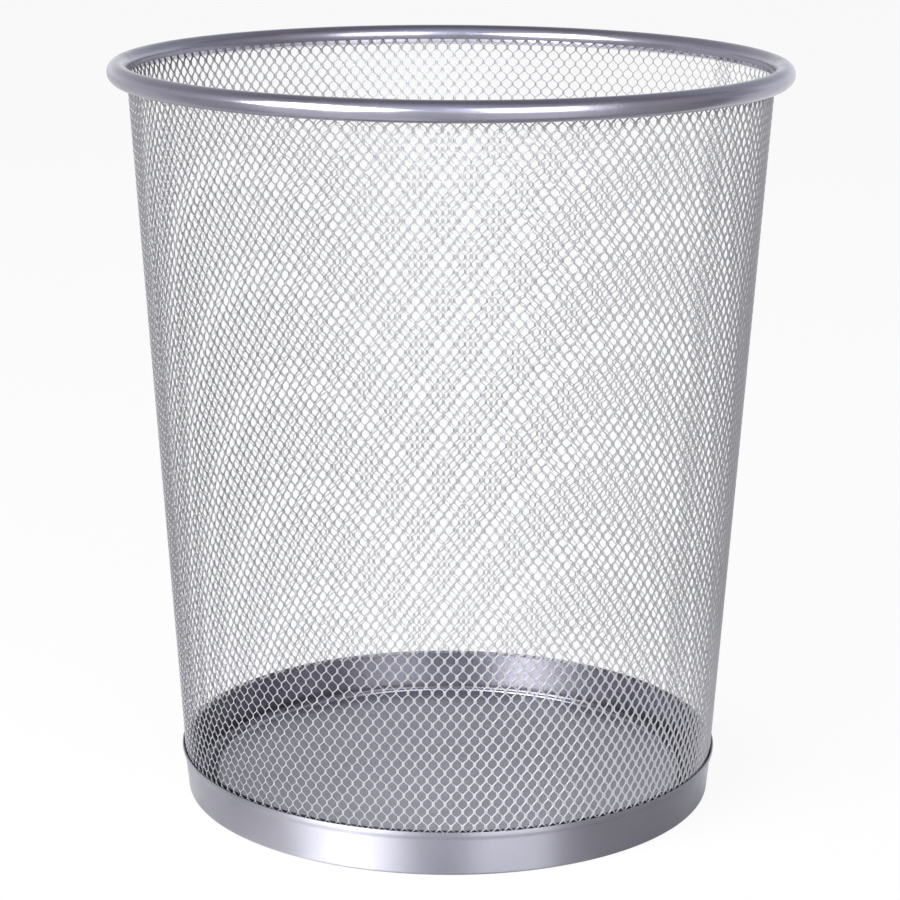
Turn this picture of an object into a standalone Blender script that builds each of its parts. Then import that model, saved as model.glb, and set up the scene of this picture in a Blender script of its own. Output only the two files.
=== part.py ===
"""Round wastebasket of expanded steel mesh, in metres, +Z up.

Three pieces: a rolled rim tube, the tapered mesh wall that stands in its slot, and the pressed
base pan that holds the wall's foot. The origin is at the centre of the underside.
"""

import math

import bmesh
import bpy

# Overall sizes. The base is measured over the pan's flared lip.
HEIGHT = 0.328
RIM_DIAMETER = 0.295
BASE_DIAMETER = 0.2414

# Rim: one strip of sheet rolled into a tube, with a slot at its inner side for the mesh
TUBE_DIAMETER = 0.0090
RIM_SHEET = 0.0005
TUBE_INNER_END = math.radians(190)
TUBE_OUTER_END = math.radians(-130)
SLOT_ROOM = 0.0005

# Mesh wall: the real sheet has diamonds 5.3 mm wide and strands 0.8 mm wide. The diamonds here are
# larger, with the same outline and the same share of open area, so that the wall stays light.
MESH_THICKNESS = 0.0007
STRAND_WIDTH = 0.0038
DIAMOND_COLUMNS = 32
DIAMOND_ROWS = 9
MESH_ENTRY = 0.0053
NECK_FLARE = 0.0012

# Base pan: one pressed sheet with a foot ring, a raised floor, a low band and a flared lip
PAN_SHEET = 0.0005
BAND_HEIGHT = 0.0203
BAND_TAPER = 0.0016
BAND_LIP_HEIGHT = 0.0031
BAND_LIP_FLARE = 0.0018
BAND_LIP_GAP = 0.00065
BAND_CORNER_RADIUS = 0.0018
FOOT_RING_WIDTH = 0.0080
FLOOR_RISE = 0.0060
FLOOR_STEP_WIDTH = 0.0022
FLOOR_STEP_RADIUS = 0.0012

# Clearance between pieces that touch in use
SEAT_GAP = 0.0003

# Two facets for each column of diamonds keep the wall's nodes in line with the other pieces' edges
FACETS = 2 * DIAMOND_COLUMNS
WELD = 0.000001

# Places worked out from the sizes above
TUBE_RADIUS = TUBE_DIAMETER / 2
TUBE_CENTRE_RADIUS = RIM_DIAMETER / 2 - TUBE_RADIUS
TUBE_CENTRE_HEIGHT = HEIGHT - TUBE_RADIUS
TUBE_BOTTOM = HEIGHT - TUBE_DIAMETER
LIP_RADIUS = BASE_DIAMETER / 2
BAND_RADIUS = LIP_RADIUS - BAND_LIP_FLARE
FOOT_RING_RADIUS = BAND_RADIUS - BAND_TAPER - BAND_CORNER_RADIUS
MESH_HALF = MESH_THICKNESS / 2
WALL_BOTTOM = PAN_SHEET + SEAT_GAP
WALL_TOP = TUBE_BOTTOM + MESH_ENTRY


def slot_radius():
    """Mid radius of the mesh in the slot, clear of the tube's free inner end."""
    inner_face = TUBE_CENTRE_RADIUS + (TUBE_RADIUS - RIM_SHEET) * math.cos(TUBE_INNER_END)
    return inner_face + SLOT_ROOM + MESH_HALF


def wall_radius(height):
    """Mid radius of the mesh wall: a straight taper from the pan's lip to the rim.

    Its foot is drawn in to stand on the pan's foot ring, and its top flares into the rim's slot.
    """
    if height <= BAND_HEIGHT / 2:
        return FOOT_RING_RADIUS
    if height <= BAND_HEIGHT:
        return BAND_RADIUS - PAN_SHEET - SEAT_GAP - MESH_HALF
    if height >= TUBE_BOTTOM:
        return slot_radius()
    share = (height - BAND_HEIGHT) / (TUBE_BOTTOM - BAND_HEIGHT)
    neck_radius = slot_radius() - NECK_FLARE
    mouth_radius = LIP_RADIUS - PAN_SHEET - BAND_LIP_GAP - MESH_HALF
    return mouth_radius + share * (neck_radius - mouth_radius)


def arc_points(centre, radius, start, end, steps):
    """Points of an arc in the turning plane, both ends included."""
    points = []
    for i in range(steps + 1):
        angle = start + (end - start) * i / steps
        x = centre[0] + radius * math.cos(angle)
        z = centre[1] + radius * math.sin(angle)
        points.append((x, z))
    return points


def rim_profile():
    """Outer face of the rim's strip: round the tube from its inner free end to its outer one."""
    centre = (TUBE_CENTRE_RADIUS, TUBE_CENTRE_HEIGHT)
    top = math.pi / 2
    inner_side = arc_points(centre, TUBE_RADIUS, TUBE_INNER_END, top, 4)
    outer_side = arc_points(centre, TUBE_RADIUS, top, -top, 8)
    underside = arc_points(centre, TUBE_RADIUS, -top, TUBE_OUTER_END, 2)
    return inner_side + outer_side[1:] + underside[1:]


def pan_profile():
    """Outer face of the pan: from the flared lip down the band, under the foot, up to the floor."""
    corner = (FOOT_RING_RADIUS, BAND_CORNER_RADIUS)
    step_outer = FOOT_RING_RADIUS - FOOT_RING_WIDTH
    step_inner = step_outer - FLOOR_STEP_WIDTH
    points = [(LIP_RADIUS, BAND_HEIGHT)]
    points.append((LIP_RADIUS, BAND_HEIGHT - BAND_LIP_HEIGHT / 2))
    points.append((BAND_RADIUS, BAND_HEIGHT - BAND_LIP_HEIGHT))
    points += arc_points(corner, BAND_CORNER_RADIUS, 0, -math.pi / 2, 3)
    points.append((step_outer, 0.0))
    points.append((step_inner + FLOOR_STEP_RADIUS, FLOOR_RISE - FLOOR_STEP_RADIUS))
    points.append((step_inner, FLOOR_RISE))
    points.append((0.0, FLOOR_RISE))
    return points


def make_material(name, colour, roughness, metallic):
    """A plain coated-steel material."""
    material = bpy.data.materials.new(name)
    material.use_nodes = True
    shader = material.node_tree.nodes["Principled BSDF"]
    shader.inputs["Base Color"].default_value = (*colour, 1.0)
    shader.inputs["Roughness"].default_value = roughness
    shader.inputs["Metallic"].default_value = metallic
    return material


def new_object(name, mesh, material, collection):
    """Put a mesh in the collection under its part's name."""
    part = bpy.data.objects.new(name, mesh)
    collection.objects.link(part)
    mesh.materials.append(material)
    return part


def turned_shell(name, profile, sheet, material, collection):
    """A sheet piece turned about +Z: the outer face is spun, and the sheet grows inward from it."""
    mesh = bpy.data.meshes.new(name)
    edges = [(i, i + 1) for i in range(len(profile) - 1)]
    mesh.from_pydata([(x, 0.0, z) for x, z in profile], edges, [])
    part = new_object(name, mesh, material, collection)
    spin = part.modifiers.new("Turn", "SCREW")
    spin.angle = 2 * math.pi
    spin.steps = FACETS
    spin.render_steps = FACETS
    spin.use_merge_vertices = True
    spin.merge_threshold = WELD
    spin.use_smooth_shade = True
    shell = part.modifiers.new("Sheet", "SOLIDIFY")
    shell.thickness = sheet
    shell.offset = -1
    shell.use_even_offset = True
    return part


def diamond_sheet():
    """The wall's mid surface, a closed taper parted into diamonds by lines through its nodes."""
    bm = bmesh.new()
    bmesh.ops.create_grid(bm, x_segments=DIAMOND_COLUMNS, y_segments=DIAMOND_ROWS, size=0.5)
    for vert in bm.verts:
        angle = 2 * math.pi * vert.co.x
        height = WALL_BOTTOM + (WALL_TOP - WALL_BOTTOM) * (vert.co.y + 0.5)
        radius = wall_radius(height)
        vert.co = (radius * math.cos(angle), radius * math.sin(angle), height)
    bmesh.ops.remove_doubles(bm, verts=bm.verts[:], dist=WELD)
    square_edges = bm.edges[:]
    bmesh.ops.poke(bm, faces=bm.faces[:])
    for vert in bm.verts:
        stretch = wall_radius(vert.co.z) / math.hypot(vert.co.x, vert.co.y)
        vert.co.x *= stretch
        vert.co.y *= stretch
    inner_edges = [edge for edge in square_edges if not edge.is_boundary]
    bmesh.ops.dissolve_edges(bm, edges=inner_edges, use_verts=False)
    return bm


def open_diamonds(bm):
    """Open each diamond to leave strands, which end in points along the cut top and foot."""
    diamonds = bm.faces[:]
    bmesh.ops.inset_individual(bm, faces=diamonds, thickness=STRAND_WIDTH / 2, use_even_offset=True)
    edge_strips = [edge.link_faces[0] for edge in bm.edges if edge.is_boundary]
    bmesh.ops.delete(bm, geom=diamonds + edge_strips, context="FACES")


def crest_strands(bm):
    """Give the strands their thickness: a crest on both faces, thinning to the diamonds' edges."""
    bm.normal_update()
    crests = {vert: vert.normal.copy() for vert in bm.verts if not vert.is_boundary}
    parts = bm.verts[:] + bm.edges[:] + bm.faces[:]
    inner = bmesh.ops.duplicate(bm, geom=parts)
    for vert, normal in crests.items():
        inner["vert_map"][vert].co -= normal * MESH_HALF
        vert.co += normal * MESH_HALF
    inner_faces = [item for item in inner["geom"] if isinstance(item, bmesh.types.BMFace)]
    bmesh.ops.reverse_faces(bm, faces=inner_faces)
    bmesh.ops.remove_doubles(bm, verts=bm.verts[:], dist=WELD)
    bmesh.ops.recalc_face_normals(bm, faces=bm.faces[:])


def make_mesh_wall(collection):
    """The wall: one lattice of strands that meet at nodes, as slit and stretched sheet does."""
    bm = diamond_sheet()
    open_diamonds(bm)
    crest_strands(bm)
    mesh = bpy.data.meshes.new("mesh_wall")
    bm.to_mesh(mesh)
    bm.free()
    material = make_material("mesh_silver_coat", (0.33, 0.33, 0.36), 0.42, 0.85)
    return new_object("mesh_wall", mesh, material, collection)


def make_rim_tube(collection):
    """The rolled rim tube with its slot."""
    material = make_material("rim_silver_coat", (0.42, 0.42, 0.47), 0.34, 0.85)
    return turned_shell("rim_tube", rim_profile(), RIM_SHEET, material, collection)


def make_base_pan(collection):
    """The pressed base pan."""
    material = make_material("pan_silver_coat", (0.45, 0.45, 0.50), 0.30, 0.85)
    return turned_shell("base_pan", pan_profile(), PAN_SHEET, material, collection)


def clear_scene():
    """Start from an empty scene."""
    for item in list(bpy.data.objects):
        bpy.data.objects.remove(item)


def main():
    clear_scene()
    bin_parts = bpy.data.collections.new("mesh_wastebasket")
    bpy.context.scene.collection.children.link(bin_parts)
    make_rim_tube(bin_parts)
    make_mesh_wall(bin_parts)
    make_base_pan(bin_parts)


main()
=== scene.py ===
# %% [markdown]
# Mesh trash can: a round wastebasket of silver-coated steel, built piece by piece.
#
# The real bin has three parts. A strip of steel is rolled into a tube for the rim, a sheet of
# expanded mesh makes the wall, and a shallow pressed pan makes the base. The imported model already
# says where each one is, so every piece here is drawn in that same frame, in metres, with +Z up
# and the bin's axis at the origin.

# %% Load the frame
import math

import bmesh
import bpy
from mathutils import Matrix


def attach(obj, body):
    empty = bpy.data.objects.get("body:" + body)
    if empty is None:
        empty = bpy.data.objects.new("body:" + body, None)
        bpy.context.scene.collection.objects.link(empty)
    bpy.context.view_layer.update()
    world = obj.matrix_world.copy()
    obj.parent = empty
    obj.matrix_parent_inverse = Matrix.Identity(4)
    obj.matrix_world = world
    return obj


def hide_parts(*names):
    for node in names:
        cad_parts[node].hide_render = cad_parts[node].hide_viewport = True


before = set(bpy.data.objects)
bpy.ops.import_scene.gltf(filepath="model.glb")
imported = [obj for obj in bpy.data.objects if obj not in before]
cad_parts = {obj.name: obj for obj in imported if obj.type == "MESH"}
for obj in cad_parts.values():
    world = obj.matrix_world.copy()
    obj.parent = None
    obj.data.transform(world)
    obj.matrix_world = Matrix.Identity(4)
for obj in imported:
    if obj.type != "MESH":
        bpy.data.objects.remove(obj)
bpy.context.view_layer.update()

MM = 0.001

# %% [markdown]
# The camera comes first, because everything is seen through it. It was worked out from the ellipses
# of the rim and of the base: how far each one is open says how high the camera stands, and how much
# smaller the base looks says how near it is.

# %% Camera
PHOTO_PIXELS = 900
FOCAL_PIXELS = 2830
CAMERA_DISTANCE = 1.222
CAMERA_HEIGHT = 0.464
CAMERA_SIDE = 0.0003
CAMERA_PITCH = math.radians(14.235)
CAMERA_ROLL = math.radians(0.28)

camera_data = bpy.data.cameras.new("camera")
camera_data.lens = camera_data.sensor_width * FOCAL_PIXELS / PHOTO_PIXELS
camera = bpy.data.objects.new("camera", camera_data)
bpy.context.scene.collection.objects.link(camera)
place = Matrix.Translation((CAMERA_SIDE, -CAMERA_DISTANCE, CAMERA_HEIGHT))
tilt = Matrix.Rotation(math.pi / 2 - CAMERA_PITCH, 4, "X")
camera.matrix_world = place @ tilt @ Matrix.Rotation(CAMERA_ROLL, 4, "Z")
bpy.context.scene.camera = camera
print("lens", round(camera_data.lens, 1), "mm")

# %% [markdown]
# Small helpers for node materials. Each finish is a Principled shader whose colour, roughness and
# bump come from noise on Object coordinates, so a pattern stays where it is on the metal.


# %% Helpers for node materials
def new_nodes(name):
    """A material with a plain Principled shader, its node tree, and the shader."""
    material = bpy.data.materials.new(name)
    material.use_nodes = True
    tree = material.node_tree
    return material, tree, tree.nodes["Principled BSDF"]


def stretched_noise(tree, stretch, scale, detail):
    """Noise on Object coordinates, drawn out or squeezed along X, Y and Z."""
    place = tree.nodes.new("ShaderNodeTexCoord")
    mapping = tree.nodes.new("ShaderNodeMapping")
    mapping.inputs["Scale"].default_value = stretch
    noise = tree.nodes.new("ShaderNodeTexNoise")
    noise.inputs["Scale"].default_value = scale
    noise.inputs["Detail"].default_value = detail
    tree.links.new(place.outputs["Object"], mapping.inputs["Vector"])
    tree.links.new(mapping.outputs["Vector"], noise.inputs["Vector"])
    return noise.outputs["Fac"]


def ranged(tree, value, low, high, to_low, to_high):
    """Spread a value's useful range over another one."""
    node = tree.nodes.new("ShaderNodeMapRange")
    node.inputs["From Min"].default_value = low
    node.inputs["From Max"].default_value = high
    node.inputs["To Min"].default_value = to_low
    node.inputs["To Max"].default_value = to_high
    tree.links.new(value, node.inputs["Value"])
    return node.outputs["Result"]


def blended(tree, share, first, second, way="MIX"):
    """Blend two colours by a share. Each of the three is a plain value or another node's output."""
    node = tree.nodes.new("ShaderNodeMix")
    node.data_type = "RGBA"
    node.blend_type = way
    for name, given in (("Factor", share), ("A", first), ("B", second)):
        if isinstance(given, bpy.types.NodeSocket):
            tree.links.new(given, node.inputs[name])
        else:
            node.inputs[name].default_value = (*given, 1.0) if isinstance(given, tuple) else given
    return node.outputs["Result"]


def multiplied(tree, first, second):
    """Multiply two colours."""
    return blended(tree, 1.0, first, second, "MULTIPLY")


def joined(tree, operation, first, second):
    """Join two values by a sum, a product or another plain operation."""
    node = tree.nodes.new("ShaderNodeMath")
    node.operation = operation
    tree.links.new(first, node.inputs[0])
    tree.links.new(second, node.inputs[1])
    return node.outputs["Value"]


def bumped(tree, height, strength, depth, below=None):
    """A bump node on top of another one."""
    node = tree.nodes.new("ShaderNodeBump")
    node.inputs["Strength"].default_value = strength
    node.inputs["Distance"].default_value = depth
    tree.links.new(height, node.inputs["Height"])
    if below is not None:
        tree.links.new(below, node.inputs["Normal"])
    return node.outputs["Normal"]


# %% [markdown]
# The silver coat. The real bin is sprayed with a thin metallic lacquer, which keeps the shine of
# the sheet below it. One function makes the coat for every piece. The tone drifts a little over the
# surface, fine flakes make it sparkle, slow waves in the sheet bend the reflections, and handling
# leaves faint rubbed patches where the coat is duller. The mesh is cut and stretched before it is
# sprayed, so its coat is rougher and shines less like bare metal.


# %% Silver coat
WHITE = (1, 1, 1)
FLAKE_SHADE = (0.90, 0.90, 0.90)
DRIFT_SCALE = 14
WAVE_SCALE = 26
RUB_SCALE = 55
LINE_SCALE = 900
FLAKE_SCALE = 2600
RUB_DULLER = 0.12
LINE_DEPTH = 0.04 * MM
FLAKE_DEPTH = 0.03 * MM
LACQUER_WEIGHT = 0.15
LACQUER_ROUGHNESS = 0.12
EVEN_GRAIN = (1, 1, 1)
ROLLED_GRAIN = (0.1, 0.1, 5)


def silver_coat(name, pale, deep, roughness, wave_depth, grain, metallic=0.9):
    """Metallic lacquer on steel. Grain is how the fine lines of the sheet are drawn out."""
    material, tree, shader = new_nodes(name)
    drift = stretched_noise(tree, (1, 1, 1), DRIFT_SCALE, 3)
    flakes = stretched_noise(tree, (1, 1, 1), FLAKE_SCALE, 1)
    rubbed = stretched_noise(tree, (1, 1, 1.6), RUB_SCALE, 6)
    lines = stretched_noise(tree, grain, LINE_SCALE, 2)
    waves = stretched_noise(tree, (1, 1, 0.5), WAVE_SCALE, 1)

    tone = blended(tree, ranged(tree, drift, 0.35, 0.65, 0, 1), deep, pale)
    sparkle = blended(tree, ranged(tree, flakes, 0.3, 0.7, 0, 1), FLAKE_SHADE, WHITE)
    tree.links.new(multiplied(tree, tone, sparkle), shader.inputs["Base Color"])

    worn = ranged(tree, rubbed, 0.52, 0.75, roughness, roughness + RUB_DULLER)
    tree.links.new(worn, shader.inputs["Roughness"])
    surface = bumped(tree, waves, 1.0, wave_depth)
    surface = bumped(tree, lines, 0.25, LINE_DEPTH, surface)
    surface = bumped(tree, flakes, 0.15, FLAKE_DEPTH, surface)
    tree.links.new(surface, shader.inputs["Normal"])
    shader.inputs["Metallic"].default_value = metallic
    shader.inputs["Coat Weight"].default_value = LACQUER_WEIGHT
    shader.inputs["Coat Roughness"].default_value = LACQUER_ROUGHNESS
    return material


rim_coat = silver_coat(
    "rim_coat", pale=(0.37, 0.36, 0.43), deep=(0.33, 0.32, 0.39), roughness=0.20,
    wave_depth=0.4 * MM, grain=EVEN_GRAIN,
)
mesh_coat = silver_coat(
    "mesh_coat", pale=(0.275, 0.275, 0.29), deep=(0.24, 0.24, 0.255), roughness=0.30,
    wave_depth=0, grain=EVEN_GRAIN, metallic=0.35,
)
pan_coat = silver_coat(
    "pan_coat", pale=(0.46, 0.455, 0.515), deep=(0.42, 0.415, 0.475), roughness=0.24,
    wave_depth=0.3 * MM, grain=ROLLED_GRAIN,
)
# Painted shade: the inner wall's coat is much darker than the pan's, for the shade inside the pan.
wall_coat = silver_coat(
    "inner_wall_coat", pale=(0.21, 0.205, 0.24), deep=(0.17, 0.165, 0.20), roughness=0.26,
    wave_depth=0.2 * MM, grain=EVEN_GRAIN,
)
print("finishes:", rim_coat.name, mesh_coat.name, pan_coat.name, wall_coat.name)

# %% [markdown]
# The band of the pan is pressed upright between rollers, which leave fine lines that run round it.
# Such lines smear a reflection across them, up and down, and keep it sharp along them. So the
# shader is told which way round the bin is, and only the band's outer face gets this smear. The
# rest of the pan is a little darker, as painted shade inside the pan.

# %% Rolled lines on the band
BAND_TAPER = 0.1
BAND_INNER_FACE = 117.5 * MM
BAND_OUTER_FACE = 117.8 * MM
BAND_SMEAR = 0.97
BAND_DULLER = 0.18
QUARTER_TURN = 0.25
INSIDE_PAINTED_SHADE = (0.86, 0.86, 0.87)


def radius_of(tree):
    """The distance of a place on the piece from the bin's axis."""
    place = tree.nodes.new("ShaderNodeTexCoord")
    level = tree.nodes.new("ShaderNodeVectorMath")
    level.operation = "MULTIPLY"
    level.inputs[1].default_value = (1, 1, 0)
    tree.links.new(place.outputs["Object"], level.inputs[0])
    reach = tree.nodes.new("ShaderNodeVectorMath")
    reach.operation = "LENGTH"
    tree.links.new(level.outputs["Vector"], reach.inputs[0])
    return reach.outputs["Value"]


def share_of_height(tree, share):
    """The height of a place on the piece, times a share."""
    place = tree.nodes.new("ShaderNodeTexCoord")
    up = tree.nodes.new("ShaderNodeVectorMath")
    up.operation = "DOT_PRODUCT"
    up.inputs[1].default_value = (0, 0, share)
    tree.links.new(place.outputs["Object"], up.inputs[0])
    return up.outputs["Value"]


def toned_by(material, share, first, second):
    """Multiply a coat's colour by a tone that goes from the first to the second with the share."""
    tree = material.node_tree
    colour = tree.nodes["Principled BSDF"].inputs["Base Color"]
    shade = blended(tree, share, first, second)
    tree.links.new(multiplied(tree, colour.links[0].from_socket, shade), colour)


tree = pan_coat.node_tree
shader = tree.nodes["Principled BSDF"]
face = joined(tree, "SUBTRACT", radius_of(tree), share_of_height(tree, BAND_TAPER))
outside = ranged(tree, face, BAND_INNER_FACE, BAND_OUTER_FACE, 0, 1)

smear = ranged(tree, outside, 0, 1, 0, BAND_SMEAR)
tree.links.new(smear, shader.inputs["Anisotropic"])
shader.inputs["Anisotropic Rotation"].default_value = QUARTER_TURN
round_bin = tree.nodes.new("ShaderNodeTangent")
round_bin.direction_type = "RADIAL"
round_bin.axis = "Z"
tree.links.new(round_bin.outputs["Tangent"], shader.inputs["Tangent"])

duller = ranged(tree, outside, 0, 1, 0, BAND_DULLER)
worn = shader.inputs["Roughness"].links[0].from_socket
tree.links.new(joined(tree, "ADD", worn, duller), shader.inputs["Roughness"])

# Painted shade: all of the pan but the band's outer face is darkened.
toned_by(pan_coat, outside, INSIDE_PAINTED_SHADE, WHITE)
print("band smear", BAND_SMEAR, "inside tone", INSIDE_PAINTED_SHADE[0])

# %% [markdown]
# The lowest rows of the mesh look brighter in the photograph than the rows above them, and the rows
# right under the rim look darker. So the colour of the mesh is multiplied by a tone that follows
# the height: painted light on the lowest rows and painted shade on the rows under the rim. At a
# slant a fine haze on the lacquer lights up, which is the sheen.

# %% Painted light and shade up the mesh
PALE_FOOT = 45 * MM
PALE_END = 110 * MM
FOOT_PAINTED_LIGHT = (1.4, 1.4, 1.4)
SHADED_START = 314 * MM
SHADED_END = 320 * MM
UNDER_RIM_PAINTED_SHADE = (0.25, 0.25, 0.25)
MESH_SHEEN = 0.7

tree = mesh_coat.node_tree
height = share_of_height(tree, 1)
# Painted light: the lowest rows of the mesh are brightened.
toned_by(mesh_coat, ranged(tree, height, PALE_FOOT, PALE_END, 0, 1), FOOT_PAINTED_LIGHT, WHITE)
# Painted shade: the rows right under the rim are darkened.
toned_by(mesh_coat, ranged(tree, height, SHADED_START, SHADED_END, 0, 1), WHITE, UNDER_RIM_PAINTED_SHADE)
tree.nodes["Principled BSDF"].inputs["Sheen Weight"].default_value = MESH_SHEEN
print("foot rows", FOOT_PAINTED_LIGHT[0], "times and top rows", UNDER_RIM_PAINTED_SHADE[0], "times the coat")

# %% [markdown]
# The rim's inner edge, which is turned up behind the mesh, is drawn brighter than the coat, as a
# painted highlight. It is told apart from the rest of the tube by its distance from the bin's axis.

# %% Painted highlight on the edge in the slot
SLOT_INSIDE = 139.7 * MM
SLOT_OUTSIDE = 141.0 * MM
SLOT_TOP = 322.4 * MM
SLOT_BLEND = 0.2 * MM
SLOT_PAINTED_HIGHLIGHT = (2.5, 2.5, 2.4)

tree = rim_coat.node_tree
reach = radius_of(tree)
within = ranged(tree, reach, SLOT_INSIDE, SLOT_INSIDE + SLOT_BLEND, 0, 1)
short = ranged(tree, reach, SLOT_OUTSIDE, SLOT_OUTSIDE + SLOT_BLEND, 1, 0)
below = ranged(tree, share_of_height(tree, 1), SLOT_TOP, SLOT_TOP + SLOT_BLEND, 1, 0)
slot_highlight = joined(tree, "MULTIPLY", joined(tree, "MULTIPLY", within, short), below)
# Painted highlight: the turned-up edge in the slot is brightened well past the coat.
toned_by(rim_coat, slot_highlight, WHITE, SLOT_PAINTED_HIGHLIGHT)
print("bare edge", [round(v / MM, 1) for v in (SLOT_INSIDE, SLOT_OUTSIDE)], "mm from the axis")

# %% [markdown]
# Helpers for the pieces. A turned piece starts as a row of points in the plane of X and Z, which is
# the outline that a maker would draw for a spinning tool, and is spun round the bin's axis.


# %% Helpers for turned pieces
WELD = 0.01 * MM
SHARP_BEND = math.radians(50)


def outline(bm, places):
    """Join points, given as radius and height, into one open line."""
    verts = [bm.verts.new((radius, 0, height)) for radius, height in places]
    for first, second in zip(verts, verts[1:]):
        bm.edges.new((first, second))
    return verts


def round_corner(bm, corner, size, segments):
    """Round a corner of the line, as a sheet's bend is."""
    bmesh.ops.bevel(
        bm, geom=[corner], offset=size, offset_type="OFFSET", segments=segments,
        profile=0.5, affect="VERTICES", material=-1,
    )


def turn_about_axis(bm, steps):
    """Spin the line a full turn, close its seam and its pole, and face it outward."""
    bmesh.ops.spin(
        bm, geom=bm.verts[:] + bm.edges[:], cent=(0, 0, 0), axis=(0, 0, 1), dvec=(0, 0, 0),
        angle=2 * math.pi, steps=steps, use_merge=True, use_duplicate=False,
    )
    bmesh.ops.remove_doubles(bm, verts=bm.verts[:], dist=WELD)
    bmesh.ops.recalc_face_normals(bm, faces=bm.faces[:])


def new_piece(name, bm, material, node):
    """Make an object of the mesh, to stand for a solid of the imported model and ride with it."""
    mesh = bpy.data.meshes.new(name)
    bm.to_mesh(mesh)
    bm.free()
    mesh.materials.append(material)
    for face in mesh.polygons:
        face.use_smooth = True
    piece = bpy.data.objects.new(name, mesh)
    bpy.context.scene.collection.objects.link(piece)
    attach(piece, "root")
    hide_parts(node)
    return piece


def give_sheet(piece, sheet, edge_round):
    """Give a turned surface the thickness of its sheet, with slightly rounded edges, for good."""
    shell = piece.modifiers.new("sheet", "SOLIDIFY")
    shell.thickness = sheet
    shell.offset = -1
    shell.use_even_offset = True
    edges = piece.modifiers.new("edges", "BEVEL")
    edges.width = edge_round
    edges.segments = 2
    edges.limit_method = "ANGLE"
    edges.angle_limit = SHARP_BEND
    edges.harden_normals = True
    bpy.context.view_layer.update()
    finished = piece.evaluated_get(bpy.context.evaluated_depsgraph_get())
    made = bpy.data.meshes.new_from_object(finished)
    piece.modifiers.clear()
    piece.data = made
    made.name = piece.name


def report(piece):
    """Print a piece's size and its number of triangles."""
    triangles = sum(len(face.vertices) - 2 for face in piece.data.polygons)
    size = [round(v / MM, 1) for v in piece.dimensions]
    print(piece.name, size, "mm,", triangles, "triangles")


# %% [markdown]
# The rim. On the real bin one strip of steel is rolled into a tube 9 mm thick. Its two edges don't
# meet: they leave a slot on the inner side, low down, which grips the top of the mesh. Its outer
# edge is turned up into the tube, so that the mesh is held between two faces. The section is one
# point carried round the tube's centre and then drawn up, and it is then spun round the bin.

# %% Rim tube
RIM_DIAMETER = 295 * MM
BIN_HEIGHT = 328 * MM
TUBE_RADIUS = 4.5 * MM
RIM_SHEET = 0.5 * MM
TUBE_INNER_END = math.radians(204)
TUBE_TURN = math.radians(332)
TURNED_UP = 2.6 * MM
TURNED_BEND = 0.3 * MM
EDGE_ROUND = 0.12 * MM
RIM_STEPS = 384
TUBE_STEPS = 32
TUBE_CENTRE = (RIM_DIAMETER / 2 - TUBE_RADIUS, 0, BIN_HEIGHT - TUBE_RADIUS)

bm = bmesh.new()
start = bm.verts.new((
    TUBE_CENTRE[0] + TUBE_RADIUS * math.cos(TUBE_INNER_END), 0,
    TUBE_CENTRE[2] + TUBE_RADIUS * math.sin(TUBE_INNER_END),
))
bmesh.ops.spin(
    bm, geom=[start], cent=TUBE_CENTRE, axis=(0, 1, 0), dvec=(0, 0, 0),
    angle=TUBE_TURN, steps=TUBE_STEPS, use_merge=False, use_duplicate=False,
)
edge_end = min((v for v in bm.verts if len(v.link_edges) == 1), key=lambda v: v.co.z)
tip = bmesh.ops.extrude_vert_indiv(bm, verts=[edge_end])["verts"]
bmesh.ops.translate(bm, vec=(0, 0, TURNED_UP), verts=tip)
round_corner(bm, edge_end, TURNED_BEND, 3)
turn_about_axis(bm, RIM_STEPS)
rim = new_piece("rim_tube_rolled", bm, rim_coat, "rim_tube")
give_sheet(rim, RIM_SHEET, EDGE_ROUND)
report(rim)

# %% [markdown]
# The base pan. It is pressed from one disc: a flat ring to stand on, a raised floor whose edge
# stands a little higher than its middle, a low band that leans out, and a lip that flares clear of
# the mesh. The outline is drawn with sharp corners, and each bend is then rounded by the radius
# that the press leaves. The raised edge is the thin bright ring in the photograph.

# %% Base pan
PAN_SHEET = 0.5 * MM
LIP_RADIUS = 120.7 * MM
LIP_TOP = 20.3 * MM
LIP_FOOT = 18.3 * MM
BAND_TOP = (119.6 * MM, 17.0 * MM)
BAND_FOOT_RADIUS = 117.9 * MM
FOOT_INNER_RADIUS = 107.5 * MM
STEP_TOP_RADIUS = 105.3 * MM
FLOOR_HEIGHT = 6.0 * MM
RING_INNER_RADIUS = 103.8 * MM
RECESS = 1.0 * MM
RECESS_SLOPE = 0.3 * MM
# Radius of each bend and the number of steps that round it, from the lip in to the floor
PAN_BENDS = (
    (0.7 * MM, 4), (0.9 * MM, 4), (1.4 * MM, 8), (1.0 * MM, 5), (1.0 * MM, 5), (0.3 * MM, 3),
    (0.6 * MM, 4),
)
PAN_STEPS = 320

bm = bmesh.new()
line = outline(bm, [
    (LIP_RADIUS, LIP_TOP), (LIP_RADIUS, LIP_FOOT), BAND_TOP, (BAND_FOOT_RADIUS, 0),
    (FOOT_INNER_RADIUS, 0), (STEP_TOP_RADIUS, FLOOR_HEIGHT), (RING_INNER_RADIUS, FLOOR_HEIGHT),
    (RING_INNER_RADIUS - RECESS_SLOPE, FLOOR_HEIGHT - RECESS), (0, FLOOR_HEIGHT - RECESS),
])
for corner, (size, segments) in zip(line[1:-1], PAN_BENDS):
    round_corner(bm, corner, size, segments)
turn_about_axis(bm, PAN_STEPS)
pan = new_piece("base_pan_pressed", bm, pan_coat, "base_pan")
give_sheet(pan, PAN_SHEET, EDGE_ROUND)
report(pan)

# %% [markdown]
# The pan's inner wall. In the photograph the mesh can't be seen inside the pan: a plain dark wall
# stands before its foot. So the foot of the mesh stands between the band and a second, thinner
# wall, which is pressed with the floor. It is drawn as one strip from the foot ring up to the lip.
# Its coat is much darker than the pan's, as painted shade inside the pan.

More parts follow.
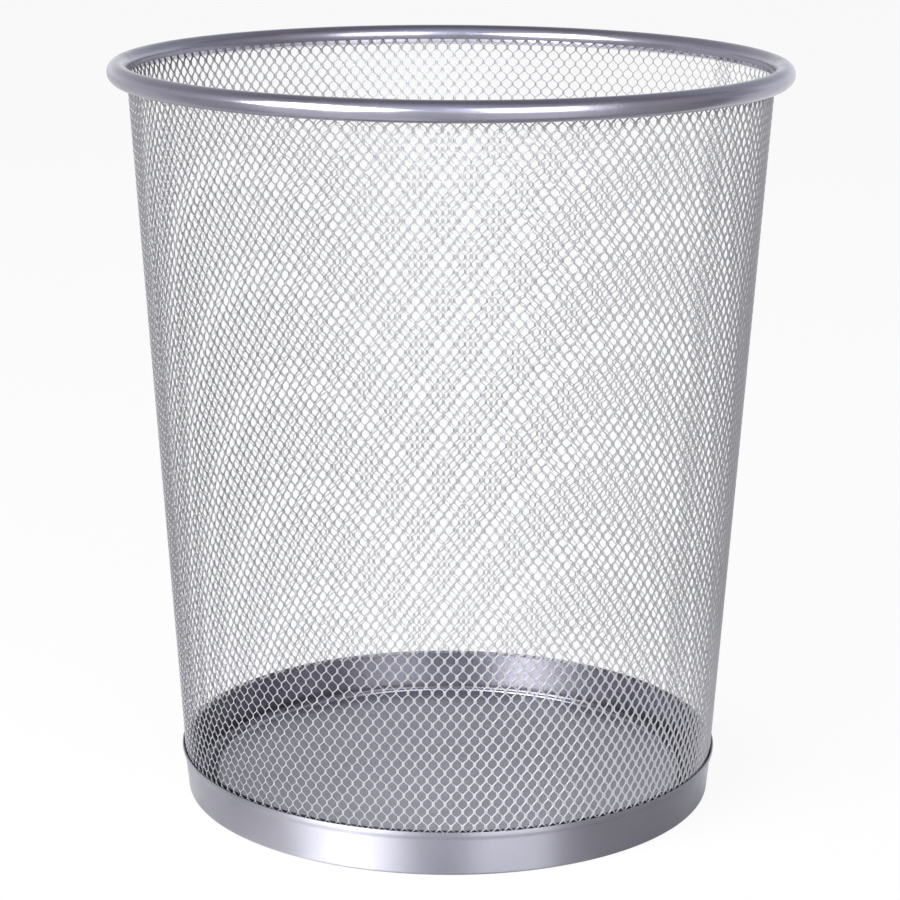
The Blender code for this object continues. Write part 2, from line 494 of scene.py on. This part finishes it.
# %% Inner wall of the pan
INNER_WALL_TOP = (117.5 * MM, 20.0 * MM)
INNER_WALL_FOOT = (114.6 * MM, 0.9 * MM)
INNER_WALL_RING = (109.0 * MM, 0.9 * MM)
INNER_SHEET = 0.3 * MM
INNER_BEND = 3.0 * MM
INNER_EDGE_ROUND = 0.08 * MM

bm = bmesh.new()
line = outline(bm, [INNER_WALL_TOP, INNER_WALL_FOOT, INNER_WALL_RING])
round_corner(bm, line[1], INNER_BEND, 8)
turn_about_axis(bm, PAN_STEPS)
inner_wall = new_piece("base_pan_inner_wall", bm, wall_coat, "base_pan")
give_sheet(inner_wall, INNER_SHEET, INNER_EDGE_ROUND)
report(inner_wall)

# %% [markdown]
# The mesh wall. Expanded mesh is made by cutting staggered slits in a sheet and pulling it wide:
# each slit opens into a diamond, and the metal between the ends of the slits stays as a bond, which
# is more than twice as wide as a strand. So one opening with half of the metal round it is drawn
# here, with octagonal strands, and laid out in a flat sheet. The sheet is then rolled into the
# taper, as the maker's is.

# %% One opening of the mesh
PITCH = 5.3 * MM
ROW_HEIGHT = 7.09 * MM
STRAND_WIDTH = 0.48 * MM
STRAND_THICKNESS = 0.4 * MM
STRAND_RAISE = 0.4 * MM
BOND_LENGTH = 1.3 * MM
BOND_WIDTH = 1.3 * MM
SHOULDER_SHARE = 0.7
SHOULDER_DROP = 0.75

CELL_SIDE = PITCH / 2
CELL_CORNER = BOND_LENGTH / 2
CELL_TOP = ROW_HEIGHT / 2 - BOND_LENGTH / 2


def ring_corners(share):
    """Half width, corner height and top of the hexagon that lies a share of the strand inward."""
    side_inset = share * BOND_WIDTH / 2
    strand_inset = share * STRAND_WIDTH / 2
    rise = CELL_TOP - CELL_CORNER
    slope = math.hypot(CELL_SIDE, rise)
    top = CELL_TOP - strand_inset * slope / CELL_SIDE
    side = CELL_SIDE - side_inset
    return side, top - rise * side / CELL_SIDE, top


def place_ring(verts, share, lift):
    """Move six corners on to the hexagon at that share of the strand, at that lift off the sheet.

    Stretching twists the metal like the slats of a blind, so one side is raised and one sunk.
    """
    side, corner, top = ring_corners(share)
    for vert in verts:
        if abs(vert.co.x) < CELL_SIDE / 2:
            vert.co.y = math.copysign(top, vert.co.y)
            vert.co.z = lift
        else:
            vert.co.z = lift - math.copysign(share * STRAND_RAISE, vert.co.x)
            vert.co.x = math.copysign(side, vert.co.x)
            vert.co.y = math.copysign(corner, vert.co.y)


def one_opening(bm):
    """The metal round one opening, from the middle of its strands to their inner edges."""
    half = STRAND_THICKNESS / 2
    verts = bmesh.ops.create_circle(bm, cap_ends=False, radius=CELL_SIDE, segments=6)["verts"]
    place_ring(verts, 0, half)
    edges = [edge for edge in bm.edges if edge.verts[0] in verts]
    for share, lift in (
        (SHOULDER_SHARE, half * SHOULDER_DROP), (1, 0),
        (SHOULDER_SHARE, -half * SHOULDER_DROP), (0, -half),
    ):
        grown = bmesh.ops.extrude_edge_only(bm, edges=edges)["geom"]
        edges = [part for part in grown if isinstance(part, bmesh.types.BMEdge)]
        verts = [part for part in grown if isinstance(part, bmesh.types.BMVert)]
        place_ring(verts, share, lift)


bm = bmesh.new()
one_opening(bm)
print("one opening:", len(bm.faces) * 2, "triangles")

# %% [markdown]
# The flat sheet. Openings stand in rows, and every second row is shifted by half a pitch. Two
# openings make the pattern's repeat, which is copied along and up: all that is there is doubled
# while that fits, and the rest is added one by one. Its two sides are then trimmed through the
# strands, and each cut is closed.

# %% Flat sheet of mesh
SHEET_COLUMNS = 39
SHEET_ROWS = 48
TRIM_SHARE = 0.25
STRAND_WELD = 0.002 * MM
CUT_REACH = 0.0001 * MM


def everything(bm):
    """All the points, edges and faces that the mesh holds now."""
    return bm.verts[:] + bm.edges[:] + bm.faces[:]


def copy_to(bm, parts, shift):
    """Copy some parts of the mesh and move the copy."""
    out = bmesh.ops.duplicate(bm, geom=parts)["geom"]
    points = [part for part in out if isinstance(part, bmesh.types.BMVert)]
    bmesh.ops.translate(bm, vec=shift, verts=points)


def copies(bm, step, wanted):
    """Repeat all that the mesh holds along a step until there are that many."""
    first = everything(bm)
    made = 1
    while made < wanted:
        doubles = 2 * made <= wanted
        copy_to(bm, everything(bm) if doubles else first, (step[0] * made, step[1] * made, 0))
        made += made if doubles else 1


def trim(bm, place, outward):
    """Cut away what lies beyond a plane and close the cut strands."""
    parted = bmesh.ops.bisect_plane(
        bm, geom=everything(bm), dist=CUT_REACH, plane_co=place, plane_no=outward,
        clear_outer=True,
    )
    cut = [part for part in parted["geom_cut"] if isinstance(part, bmesh.types.BMEdge)]
    caps = bmesh.ops.holes_fill(bm, edges=cut, sides=0)["faces"]
    for edge in cut:
        edge.smooth = False
    return len(caps)


copy_to(bm, everything(bm), (PITCH / 2, ROW_HEIGHT / 2, 0))
copies(bm, (PITCH, 0), SHEET_COLUMNS + 1)
copies(bm, (0, ROW_HEIGHT), SHEET_ROWS)
bmesh.ops.remove_doubles(bm, verts=bm.verts[:], dist=STRAND_WELD)
bmesh.ops.recalc_face_normals(bm, faces=bm.faces[:])
trim(bm, (TRIM_SHARE * PITCH, 0, 0), (-1, 0, 0))
trim(bm, ((TRIM_SHARE + SHEET_COLUMNS) * PITCH, 0, 0), (1, 0, 0))
flat_sheet = bm
print("flat sheet:", len(bm.verts), "points,", len(bm.faces), "faces")

# %% [markdown]
# Rolling the sheet. A column of the sheet becomes an angle and a row becomes a height. The real
# sheet was pulled into its taper by hand and machine, so its rows climb a little to the right and
# its columns lean a little, more at the front than at the back. Those small slips are kept, because
# they decide where the strands of the front wall cross the ones of the back wall, and so the
# shimmer that is seen through both. Near the rim the back rows lie a little closer together.

# %% Rolling the mesh
# The first value of a pair is for the front of the bin and the second for the back
COLUMNS_PER_RADIAN = (24.542, 24.383)
COLUMN_LEAN = (1.318, -1.029)
FIRST_COLUMN = 0.669
ROW_STEP = (7.077 * MM, 7.108 * MM)
FIRST_ROW_HEIGHT = (0.775 * MM, -0.49 * MM)
ROW_TILT = 0.96 * MM
ROW_CLIMB = -0.28 * MM
SQUEEZE = 0.036
SQUEEZE_START = 255 * MM

WALL_FOOT_RADIUS = 119.0 * MM
WALL_FOOT_HEIGHT = 19 * MM
WALL_SLOPE = 0.0650
NECK_HEIGHT = 318.5 * MM
NECK_TOP = 322.5 * MM
NECK_FLARE = 1.1 * MM
TUCK_TOP = 20.8 * MM
TUCK_FOOT = 16.8 * MM
TUCK = 0.6 * MM
TUCK_SLOPE = 0.112
GRIPPED_SHARE = 0.45
SETTLING_ROUNDS = 3
MESH_FOOT = 2.2 * MM
MESH_TOP = 325.4 * MM


def eased(value, start, end):
    """Go smoothly from 0 to 1 between two values."""
    share = min(1, max(0, (value - start) / (end - start)))
    return share * share * (3 - 2 * share)


def wall_radius(height):
    """Middle of the mesh: a straight taper, tucked into the pan and flared into the rim's slot."""
    radius = WALL_FOOT_RADIUS + WALL_SLOPE * (height - WALL_FOOT_HEIGHT)
    radius += NECK_FLARE * eased(height, NECK_HEIGHT, NECK_TOP)
    tucked = 1 - eased(height, TUCK_FOOT, TUCK_TOP)
    radius -= tucked * TUCK
    if height < TUCK_FOOT:
        radius -= (TUCK_SLOPE - WALL_SLOPE) * (TUCK_FOOT - height)
    return radius


def flattened(height):
    """How much of its depth the mesh keeps: it is pressed flatter where the pan and rim grip it."""
    free = eased(height, TUCK_FOOT, TUCK_TOP) - eased(height, NECK_HEIGHT, NECK_TOP)
    return GRIPPED_SHARE + (1 - GRIPPED_SHARE) * free


def mix(pair, share):
    """The value between the front's and the back's."""
    return pair[0] + (pair[1] - pair[0]) * share


def angle_and_height(column, row):
    """Where a place of the sheet lands: the angle from the front, and the height.

    Each depends a little on the other, so they are settled in a few rounds.
    """
    angle = (column - FIRST_COLUMN) / COLUMNS_PER_RADIAN[0]
    for _ in range(SETTLING_ROUNDS):
        backward = (1 - math.cos(angle)) / 2
        height = mix(ROW_STEP, backward) * row + mix(FIRST_ROW_HEIGHT, backward)
        height += ROW_TILT * math.sin(angle) + ROW_CLIMB * angle
        height -= SQUEEZE * backward * max(0, height - SQUEEZE_START)
        turned = column - FIRST_COLUMN - height * mix(COLUMN_LEAN, backward)
        angle = turned / mix(COLUMNS_PER_RADIAN, backward)
    return angle, height


print(
    "mesh radius at the lip", round(wall_radius(WALL_FOOT_HEIGHT) / MM, 1),
    "mm and under the rim", round(wall_radius(NECK_HEIGHT) / MM, 1), "mm",
)

# %% [markdown]
# The seam. The two ends of the sheet lap by 12 mm at the right of the back, where the real bin is
# spot-welded. Towards its ends the sheet eases inward on one side and outward on the other by half
# its thickness, so the two layers lie on each other. The wall is made in four lengths only to keep
# each mesh light: their ends meet in the middle of the strands.

# %% Mesh wall
SHEET_START = -105
FIRST_ROW = -1
LAP_COLUMNS = 2.6
LAP_EASE_COLUMNS = 5
LAP_CLEARANCE = 0.02 * MM
LAP_OFFSET = STRAND_THICKNESS / 2 + LAP_CLEARANCE
WALL_LENGTHS = ("back_left", "front_left", "front_right", "back_right")
WALL_COLUMNS = SHEET_COLUMNS * len(WALL_LENGTHS)


def lap_offset(column):
    """How far the sheet stands in or out near its ends."""
    from_start = column - SHEET_START
    from_end = SHEET_START + WALL_COLUMNS - column
    inward = 1 - eased(from_start, LAP_COLUMNS, LAP_COLUMNS + LAP_EASE_COLUMNS)
    outward = 1 - eased(from_end, LAP_COLUMNS, LAP_COLUMNS + LAP_EASE_COLUMNS)
    return LAP_OFFSET * (outward - inward)


def roll(bm, start):
    """Roll a flat length of sheet on to the wall, its first column at the given one.

    Columns are counted at the bonds, which stand half a pitch from the middle of an opening.
    """
    for vert in bm.verts:
        column = start + vert.co.x / PITCH + 0.5
        angle, height = angle_and_height(column, FIRST_ROW + vert.co.y / ROW_HEIGHT)
        radius = wall_radius(height) + vert.co.z * flattened(height) + lap_offset(column)
        vert.co = (radius * math.sin(angle), -radius * math.cos(angle), height)


for i, side in enumerate(WALL_LENGTHS):
    bm = flat_sheet.copy()
    start = SHEET_START + i * SHEET_COLUMNS
    roll(bm, start)
    foot_cuts = trim(bm, (0, 0, MESH_FOOT), (0, 0, -1))
    top_cuts = trim(bm, (0, 0, MESH_TOP), (0, 0, 1))
    bmesh.ops.recalc_face_normals(bm, faces=bm.faces[:])
    wall = new_piece("mesh_wall_" + side, bm, mesh_coat, "mesh_wall")
    report(wall)
    print(foot_cuts, "strands closed at the foot,", top_cuts, "at the top")
flat_sheet.free()

# %% [markdown]
# Helpers for the light. Both the floor and the room change round the bin, brighter toward the two
# soft boxes at the front and darker toward the right, so both need the heading from the front.


# %% Helpers for the light
def heading_share(tree, vector):
    """Heading of a place or direction: 0.5 at the front, less to the left, more to the right."""
    axes = tree.nodes.new("ShaderNodeSeparateXYZ")
    tree.links.new(vector, axes.inputs["Vector"])
    toward = tree.nodes.new("ShaderNodeMath")
    toward.operation = "MULTIPLY"
    toward.inputs[1].default_value = -1
    tree.links.new(axes.outputs["Y"], toward.inputs[0])
    turn = tree.nodes.new("ShaderNodeMath")
    turn.operation = "ARCTAN2"
    tree.links.new(axes.outputs["X"], turn.inputs[0])
    tree.links.new(toward.outputs["Value"], turn.inputs[1])
    return ranged(tree, turn.outputs["Value"], -math.pi, math.pi, 0, 1)


def ramp_of(tree, value, stops):
    """A ramp of grey or coloured stops over a value from 0 to 1."""
    node = tree.nodes.new("ShaderNodeValToRGB")
    elements = node.color_ramp.elements
    for i, (at, tone) in enumerate(stops):
        stop = elements[i] if i < 2 else elements.new(at)
        stop.position = at
        stop.color = (*tone, 1) if isinstance(tone, tuple) else (tone, tone, tone, 1)
    tree.links.new(value, node.inputs["Fac"])
    return node.outputs["Color"]


# %% [markdown]
# The floor is a wide pale disc. A photographer would light it until it turns white. Here most of
# its white is its own, seen by the camera and in the metal, and the rest is lit, so it still keeps
# the bin's soft shadow and puts no more light on the bin. In the metal it shows painted light and
# shade: white toward the soft boxes and greyer between them and toward the dark side of the room.
# One row of tones is for the floor near the bin, which the band shows, and one for the floor
# further out.

# %% Floor
FLOOR_RADIUS = 12
FLOOR_DROP = 0.1 * MM
FLOOR_TONE = (0.86, 0.86, 0.86)
FLOOR_ROUGHNESS = 0.8
OWN_WHITE = 0.9
NEAR_END = 180 * MM
FAR_START = 320 * MM
# Each pair is a heading, 0.5 at the front and less to the left, and the tone there
NEAR_PAINTED_TONES = (
    (0.00, 0.90), (0.26, 1.0), (0.30, 0.80), (0.335, 0.72), (0.36, 0.80), (0.375, 1.0),
    (0.45, 1.0), (0.475, 0.60), (0.50, 0.33), (0.54, 0.40), (0.57, 0.42), (0.60, 0.18),
    (0.66, 0.20), (0.72, 0.28), (0.77, 0.95),
)
FAR_PAINTED_TONES = (
    (0.00, 0.80), (0.19, 0.70), (0.24, 0.32), (0.30, 0.32), (0.35, 1.0), (0.44, 0.85),
    (0.50, 0.45), (0.54, 1.0), (0.61, 1.0), (0.66, 0.42), (0.77, 0.18), (0.81, 0.95),
    (0.86, 1.0),
)

floor_paint, tree, shader = new_nodes("floor_paint")
shader.inputs["Base Color"].default_value = (*FLOOR_TONE, 1)
shader.inputs["Roughness"].default_value = FLOOR_ROUGHNESS
place = tree.nodes.new("ShaderNodeTexCoord")
rays = tree.nodes.new("ShaderNodeLightPath")
heading = heading_share(tree, place.outputs["Object"])
outward = ranged(tree, radius_of(tree), NEAR_END, FAR_START, 0, 1)
near, far = ramp_of(tree, heading, NEAR_PAINTED_TONES), ramp_of(tree, heading, FAR_PAINTED_TONES)
# Painted light and shade on the floor, seen only in the metal.
painted_in_metal = blended(tree, outward, near, far)
own = tree.nodes.new("ShaderNodeEmission")
own.inputs["Strength"].default_value = 1.0
in_view = blended(tree, rays.outputs["Is Glossy Ray"], WHITE, painted_in_metal)
tree.links.new(in_view, own.inputs["Color"])
seen = joined(tree, "MAXIMUM", rays.outputs["Is Camera Ray"], rays.outputs["Is Glossy Ray"])
seen = joined(tree, "MAXIMUM", seen, rays.outputs["Is Transmission Ray"])
paint = tree.nodes.new("ShaderNodeMixShader")
tree.links.new(ranged(tree, seen, 0, 1, 0, OWN_WHITE), paint.inputs["Fac"])
tree.links.new(shader.outputs["BSDF"], paint.inputs[1])
tree.links.new(own.outputs["Emission"], paint.inputs[2])
tree.links.new(paint.outputs["Shader"], tree.nodes["Material Output"].inputs["Surface"])

bm = bmesh.new()
bmesh.ops.create_circle(bm, cap_ends=True, radius=FLOOR_RADIUS, segments=96)
bmesh.ops.translate(bm, vec=(0, 0, -FLOOR_DROP), verts=bm.verts[:])
floor_mesh = bpy.data.meshes.new("studio_floor")
bm.to_mesh(floor_mesh)
bm.free()
floor_mesh.materials.append(floor_paint)
studio_floor = bpy.data.objects.new("studio_floor", floor_mesh)
bpy.context.scene.collection.objects.link(studio_floor)
print("floor", 2 * FLOOR_RADIUS, "m wide,", OWN_WHITE, "of its white its own")

# %% [markdown]
# The room. Shiny metal shows what stands round it, so the world is drawn like a plain studio: pale
# at the height of the eye, darker to the right, and darkest overhead, a little behind the bin. Its
# tones are also listed by heading. Two large soft boxes in front, one to each side of the camera,
# give the white streaks along the rim and the band. The left one is the stronger and leans over, so
# its streak runs out slowly.

# %% World and lamps
ROOM_TONES = (
    (0.00, (0.98, 0.99, 1.00)), (0.08, (0.92, 0.92, 0.95)), (0.14, (0.70, 0.70, 0.74)),
    (0.22, (0.52, 0.52, 0.55)), (0.30, (0.62, 0.62, 0.65)), (0.38, (0.85, 0.85, 0.92)),
    (0.50, (0.88, 0.91, 1.10)), (0.62, (0.75, 0.75, 0.85)), (0.68, (0.50, 0.47, 0.50)),
    (0.76, (0.40, 0.37, 0.41)), (0.82, (0.50, 0.50, 0.57)), (0.85, (0.95, 0.97, 1.05)),
)
CEILING_WAY = (0, 0.34, 0.94)
CEILING_TONES = ((0.0, 1.0), (0.42, 1.0), (0.56, 0.66), (0.80, 0.46), (0.93, 0.26), (1.0, 0.13))
BOX_DISTANCE = 2.2

world = bpy.data.worlds.new("studio")
bpy.context.scene.world = world
world.use_nodes = True
tree = world.node_tree
look = tree.nodes.new("ShaderNodeTexCoord")
walls = ramp_of(tree, heading_share(tree, look.outputs["Generated"]), ROOM_TONES)
upward = tree.nodes.new("ShaderNodeVectorMath")
upward.operation = "DOT_PRODUCT"
upward.inputs[1].default_value = CEILING_WAY
tree.links.new(look.outputs["Generated"], upward.inputs[0])
overhead = ramp_of(tree, upward.outputs["Value"], CEILING_TONES)
tree.links.new(multiplied(tree, walls, overhead), tree.nodes["Background"].inputs["Color"])
tree.nodes["Background"].inputs["Strength"].default_value = 1.0


def soft_box(name, heading, lift, distance, width, height, power, roll):
    """A soft box that faces the bin, placed by its angles from the front and the floor.

    Its roll leans its top to one side.
    """
    data = bpy.data.lights.new(name, "AREA")
    data.shape = "RECTANGLE"
    data.size = width
    data.size_y = height
    data.energy = power
    lamp = bpy.data.objects.new(name, data)
    bpy.context.scene.collection.objects.link(lamp)
    turn = Matrix.Rotation(math.radians(heading), 4, "Z")
    face = turn @ Matrix.Rotation(math.radians(90 - lift), 4, "X")
    lean = Matrix.Rotation(math.radians(roll), 4, "Z")
    lamp.matrix_world = face @ Matrix.Translation((0, 0, distance)) @ lean
    print(name, power, "W,", width, "by", height, "m at", distance, "m")


soft_box("soft_box_left", -41.5, 21, BOX_DISTANCE, 1.7, 1.35, power=80, roll=-28)
soft_box("soft_box_right", 26.5, 22, BOX_DISTANCE, 1.3, 1.6, power=26, roll=0)

# %% [markdown]
# Colours are shown plainly, as they are written.

# %% View and finish
bpy.context.scene.view_settings.view_transform = "Standard"
